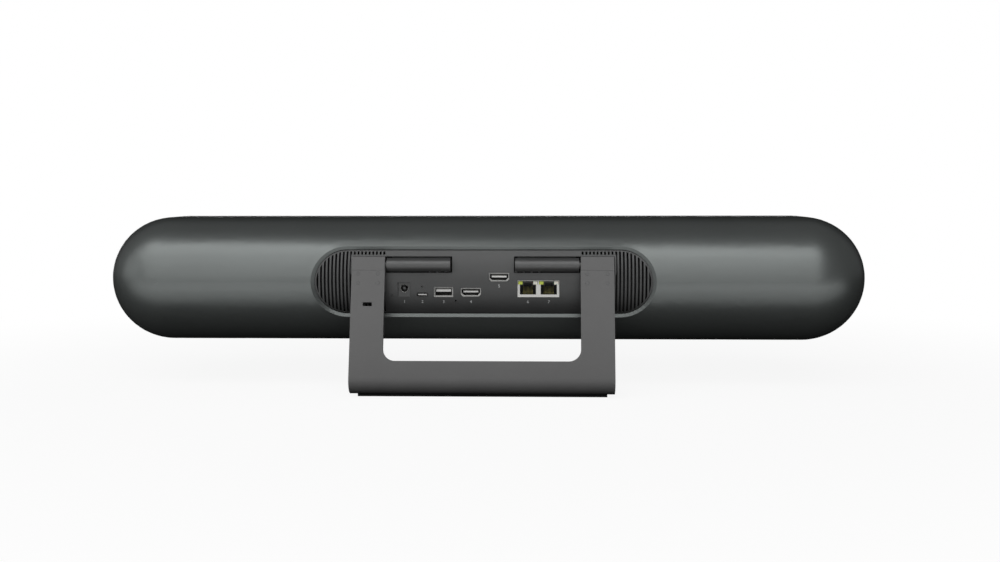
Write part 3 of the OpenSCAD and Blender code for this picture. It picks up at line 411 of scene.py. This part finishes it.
def wire(bm, points, half):
    """A flat square wire through points in the YZ plane of one x, given in millimetres."""
    for (x0, y0, z0), (x1, y1, z1) in zip(points, points[1:]):
        along = Vector((0, y1 - y0, z1 - z0))
        length = along.length + half
        frame_turn = along.to_track_quat("Y", "X").to_matrix().to_4x4()
        made_box = bmesh.ops.create_cube(bm, size=1.0)
        shape = Matrix.Translation(at((x0 + x1) / 2, (y0 + y1) / 2, (z0 + z1) / 2)) @ frame_turn
        shape = shape @ Matrix.Diagonal((2 * half * MM, length * MM, 2 * half * MM, 1))
        bmesh.ops.transform(bm, matrix=shape, verts=made_box["verts"])


def network_contacts():
    """Eight gilt spring wires in each network socket, rising from the floor of the mouth to its back."""
    for number, side in ((1, 1), (2, -1)):
        centre = side * NETWORK_W / 2 - NETWORK_X

        def build(bm):
            for i in range(WIRE_COUNT):
                x = centre + (i - (WIRE_COUNT - 1) / 2) * WIRE_PITCH
                points = [(x, PORT_FACE - depth, BOARD_TOP + rise) for depth, rise in WIRE_PATH]
                wire(bm, points, WIRE_HALF)

        new_piece("network_contacts_%d" % number, mesh_of("network_contacts_%d" % number, build),
                  "contact_gold", "camera")


def tongue_contacts():
    """Gilt strips on both faces of the video ports' tongues."""
    for number, (x, z) in enumerate(VIDEO_TONGUES, 1):
        def build(bm):
            back, front = (PORT_FACE - depth for depth in STRIP_ENDS)
            for level, count in STRIP_ROWS:
                for i in range(count):
                    mid = x + (i - (count - 1) / 2) * STRIP_PITCH
                    block(bm, (mid - STRIP_HALF, back, z + level - STRIP_HALF_T),
                          (mid + STRIP_HALF, front, z + level + STRIP_HALF_T))

        new_piece("tongue_contacts_%d" % number, mesh_of("tongue_contacts_%d" % number, build),
                  "contact_gold", "camera")


def port_numbers():
    """A plain number under each port, printed on the curved panel."""
    for text, x, z in LABELS:
        curve = bpy.data.curves.new("number", "FONT")
        curve.body = text
        curve.size = LABEL_SIZE * MM
        curve.align_x = "CENTER"
        curve.align_y = "CENTER"
        curve.extrude = PRINT_T * MM
        holder = bpy.data.objects.new("number", curve)
        mesh = bpy.data.meshes.new_from_object(holder)
        bpy.data.objects.remove(holder)
        bpy.data.curves.remove(curve)
        for v in mesh.vertices:
            height = z + v.co.y / MM
            depth = PANEL_DEPTH * math.sqrt(1 - (height / PANEL_HALF) ** 2)
            v.co = at(x - v.co.x / MM, depth + PRINT_PROUD + v.co.z / MM, height)
        new_piece("port_number_%s" % text, mesh, "print_ink", "camera")


def jack_sleeve():
    """The thin spring sleeve that lines the power jack, with its turned-in mouth."""
    z = BOARD_TOP + JACK_RISE
    profile = [(SLEEVE_R, -SLEEVE_START), (SLEEVE_R, -SLEEVE_END), (SLEEVE_R - SLEEVE_T, -SLEEVE_END),
               (SLEEVE_R - SLEEVE_T, -SLEEVE_TURN), (SLEEVE_R - LIP_T, -SLEEVE_START)]

    def build(bm):
        rings = []
        for i in range(SLEEVE_SIDES):
            angle = 2 * math.pi * i / SLEEVE_SIDES
            rings.append([bm.verts.new(at(JACK_X + radius * math.cos(angle), PORT_FACE + depth,
                                          z + radius * math.sin(angle))) for radius, depth in profile])
        for i in range(SLEEVE_SIDES):
            here, there = rings[i], rings[(i + 1) % SLEEVE_SIDES]
            for j in range(len(profile)):
                k = (j + 1) % len(profile)
                bm.faces.new((here[j], here[k], there[k], there[j]))

    new_piece("jack_sleeve", mesh_of("jack_sleeve", build), "port_steel", "camera")


def seen_rays(tree):
    """One for camera and transmission rays, and zero for the rays that light the object."""
    path = tree.nodes.new("ShaderNodeLightPath")
    seen = tree.nodes.new("ShaderNodeMath")
    seen.operation = "MAXIMUM"
    tree.links.new(path.outputs["Is Camera Ray"], seen.inputs[0])
    tree.links.new(path.outputs["Is Transmission Ray"], seen.inputs[1])
    return seen.outputs["Value"]


def stage():
    """A white floor and a far white wall. The floor keeps a soft shadow that fades away from the object."""
    mat = bpy.data.materials.new("studio")
    mat.use_nodes = True
    tree = mat.node_tree
    tree.nodes.clear()

    def node(kind, **settings):
        made_node = tree.nodes.new(kind)
        for key, value in settings.items():
            setattr(made_node, key, value)
        return made_node

    white = node("ShaderNodeEmission")
    white.inputs["Strength"].default_value = 1.0
    lit = node("ShaderNodeBsdfDiffuse")
    lit.inputs["Color"].default_value = (*LIT_FLOOR, 1)
    dim = node("ShaderNodeBsdfDiffuse")
    dim.inputs["Color"].default_value = (*DIM_FLOOR, 1)
    place = node("ShaderNodeTexCoord")
    reach = node("ShaderNodeVectorMath", operation="LENGTH")
    tree.links.new(place.outputs["Object"], reach.inputs[0])
    fade = node("ShaderNodeMapRange", interpolation_type="SMOOTHSTEP")
    fade.inputs["From Min"].default_value = FADE_START
    fade.inputs["From Max"].default_value = FADE_END
    fade.inputs["To Min"].default_value = 1.0 - SHADOW_SHARE
    fade.inputs["To Max"].default_value = 1.0
    tree.links.new(reach.outputs["Value"], fade.inputs["Value"])
    shown = node("ShaderNodeMixShader")
    tree.links.new(fade.outputs["Result"], shown.inputs["Fac"])
    tree.links.new(lit.outputs["BSDF"], shown.inputs[1])
    tree.links.new(white.outputs["Emission"], shown.inputs[2])
    both = node("ShaderNodeMixShader")
    tree.links.new(seen_rays(tree), both.inputs["Fac"])
    tree.links.new(dim.outputs["BSDF"], both.inputs[1])
    tree.links.new(shown.outputs["Shader"], both.inputs[2])
    out = node("ShaderNodeOutputMaterial")
    tree.links.new(both.outputs["Shader"], out.inputs["Surface"])
    far_edge = [(-FLOOR_SIDE, FLOOR_FAR, 0), (FLOOR_SIDE, FLOOR_FAR, 0)]
    for name, corners in {
        "floor": far_edge + [(FLOOR_SIDE, FLOOR_NEAR, 0), (-FLOOR_SIDE, FLOOR_NEAR, 0)],
        "backdrop": far_edge + [(FLOOR_SIDE, FLOOR_FAR, WALL_H), (-FLOOR_SIDE, FLOOR_FAR, WALL_H)],
    }.items():
        mesh = bpy.data.meshes.new(name)
        mesh.from_pydata(corners, [], [(0, 1, 2, 3)])
        mesh.materials.append(mat)
        plane = bpy.data.objects.new(name, mesh)
        bpy.context.scene.collection.objects.link(plane)


def lamp(name, place, aim, size, power):
    data = bpy.data.lights.new(name, "AREA")
    data.shape = "RECTANGLE"
    data.size, data.size_y = size
    data.energy = power
    light = bpy.data.objects.new(name, data)
    bpy.context.scene.collection.objects.link(light)
    light.visible_camera = False
    light.location = place
    light.rotation_mode = "QUATERNION"
    light.rotation_quaternion = (Vector(aim) - Vector(place)).to_track_quat("-Z", "Y")


def light_room():
    for values in LAMPS:
        lamp(*values)
    world = bpy.data.worlds.new("room")
    world.use_nodes = True
    tree = world.node_tree
    room = tree.nodes["Background"]
    room.inputs["Color"].default_value = (*ROOM_COLOUR, 1)
    room.inputs["Strength"].default_value = ROOM_STRENGTH
    white = tree.nodes.new("ShaderNodeBackground")
    white.inputs["Color"].default_value = (1, 1, 1, 1)
    both = tree.nodes.new("ShaderNodeMixShader")
    tree.links.new(seen_rays(tree), both.inputs["Fac"])
    tree.links.new(room.outputs["Background"], both.inputs[1])
    tree.links.new(white.outputs["Background"], both.inputs[2])
    tree.links.new(both.outputs["Shader"], tree.nodes["World Output"].inputs["Surface"])
    bpy.context.scene.world = world


aim_camera()
bpy.context.scene.view_settings.view_transform = "Standard"
stage()
light_room()
dress_nodes()
network_contacts()
tongue_contacts()
port_numbers()
jack_sleeve()
